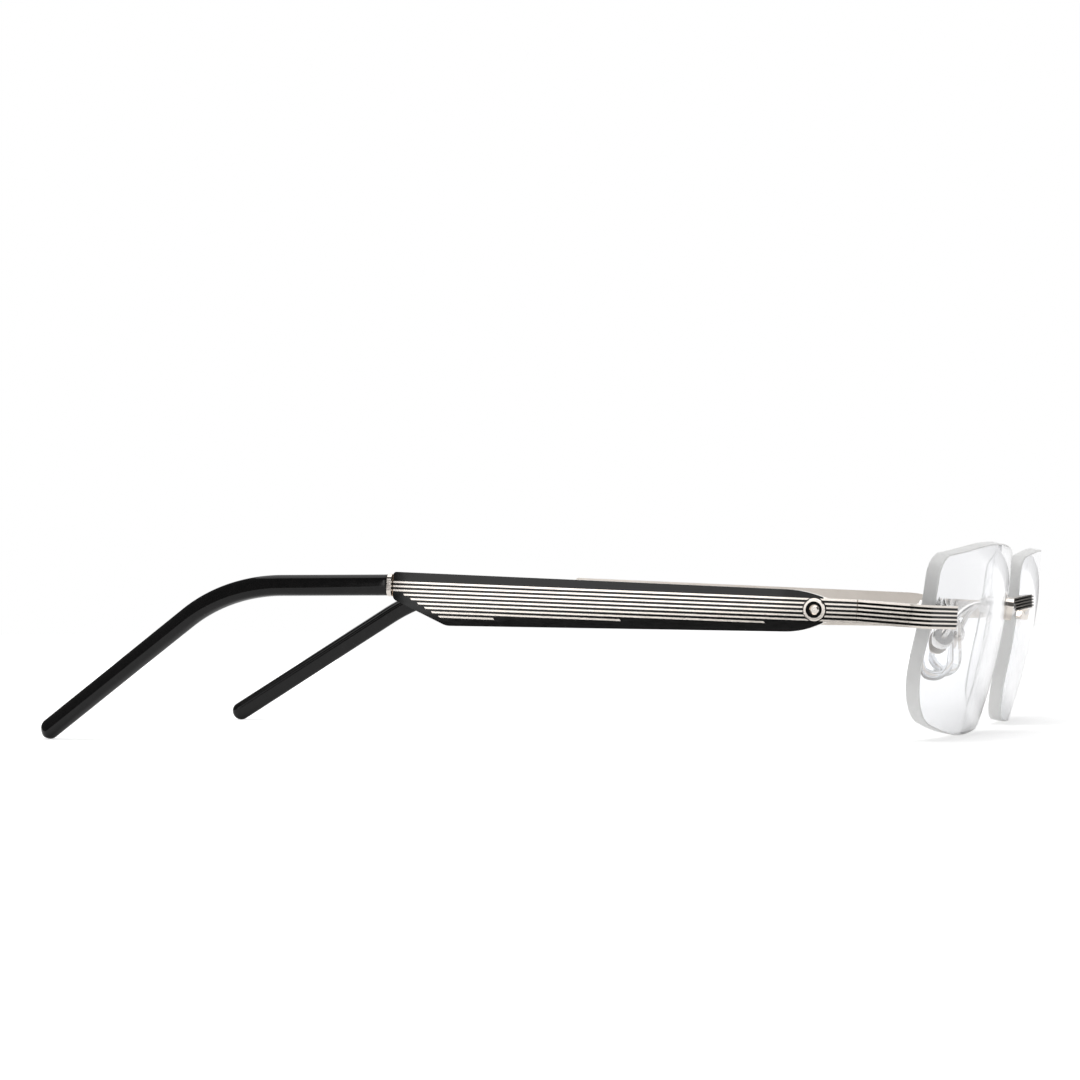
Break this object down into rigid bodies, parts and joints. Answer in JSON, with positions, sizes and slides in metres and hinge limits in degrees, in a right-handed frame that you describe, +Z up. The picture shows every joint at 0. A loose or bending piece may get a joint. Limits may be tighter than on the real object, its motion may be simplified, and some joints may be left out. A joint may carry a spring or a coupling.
{
  "type": "rimless eyeglasses",
  "caption": "Rimless eyeglasses with clear rectangular lenses, lined flat metal temples that fold inwards, rocking clear nose pads and black tip sleeves.",
  "frame": {"origin": "middle of the bounding box on the surface that the lens bottoms and temple tips stand on", "axes": "+Z up, -Y the way the wearer looks, +X the wearer's left; mirror plane X = 0"},
  "size_m": [0.1322, 0.1576, 0.0303],
  "materials": {
    "lens_clear": "clear polished lens with a ground edge",
    "polished_metal": "polished warm silver, satin inside",
    "bridge_metal": "polished warm silver",
    "medallion_metal": "polished warm silver",
    "collar_metal": "polished warm silver",
    "hinge_metal": "polished silver",
    "screw_metal": "polished steel",
    "pad_box_metal": "mirror polished",
    "insert_metal": "satin",
    "black_enamel": "gloss black fill",
    "tip_black": "gloss black acetate",
    "pad_silicone": "clear soft silicone",
    "clear_plastic": "clear plastic"
  },
  "bodies": {
    "front": {"bridge": "bridge_metal", "bridge_enamel": "black_enamel", "bridge_screws": "screw_metal", "bridge_nuts": "screw_metal", "endpiece_nuts": "screw_metal", "lens_washers": "clear_plastic", "lens_bushings": "clear_plastic", "right_lens": "lens_clear", "right_endpiece": "polished_metal", "right_endpiece_enamel": "black_enamel", "right_front_hinge": "hinge_metal", "right_hinge_screw": "screw_metal", "right_pad_arm": "polished_metal", "right_pad_box": "pad_box_metal", "right_pad_pin": "screw_metal", "left_lens": "lens_clear", "left_endpiece": "polished_metal", "left_endpiece_enamel": "black_enamel", "left_front_hinge": "hinge_metal", "left_hinge_screw": "screw_metal", "left_pad_arm": "polished_metal", "left_pad_box": "pad_box_metal", "left_pad_pin": "screw_metal"},
    "right_temple": {"right_temple_plate": "polished_metal", "right_temple_enamel": "black_enamel", "right_medallion": "medallion_metal", "right_medallion_enamel": "black_enamel", "right_temple_hinge": "hinge_metal", "right_temple_core": "screw_metal", "right_collar_ring": "collar_metal", "right_tip_sleeve": "tip_black"},
    "right_pad": {"right_nose_pad": "pad_silicone", "right_pad_mount": "insert_metal"},
    "left_temple": {"left_temple_plate": "polished_metal", "left_temple_enamel": "black_enamel", "left_medallion": "medallion_metal", "left_medallion_enamel": "black_enamel", "left_temple_hinge": "hinge_metal", "left_temple_core": "screw_metal", "left_collar_ring": "collar_metal", "left_tip_sleeve": "tip_black"},
    "left_pad": {"left_nose_pad": "pad_silicone", "left_pad_mount": "insert_metal"}
  },
  "joints": [
    {"name": "right_temple_fold", "type": "hinge", "parent": "front", "child": "right_temple", "pos_m": [-0.06297, -0.05972, 0.01957], "axis": [0.0041, 0.0522, -0.9986], "range_deg": [0, 85]},
    {"name": "left_temple_fold", "type": "hinge", "parent": "front", "child": "left_temple", "pos_m": [0.06297, -0.05972, 0.01957], "axis": [0.0041, -0.0522, 0.9986], "range_deg": [0, 76]},
    {"name": "right_pad_rock", "type": "hinge", "parent": "front", "child": "right_pad", "pos_m": [-0.01188, -0.06509, 0.01511], "axis": [0.417, -0.1657, 0.8937], "range_deg": [-12, 12]},
    {"name": "left_pad_rock", "type": "hinge", "parent": "front", "child": "left_pad", "pos_m": [0.01188, -0.06509, 0.01511], "axis": [0.417, 0.1657, -0.8937], "range_deg": [-12, 12]}
  ]
}
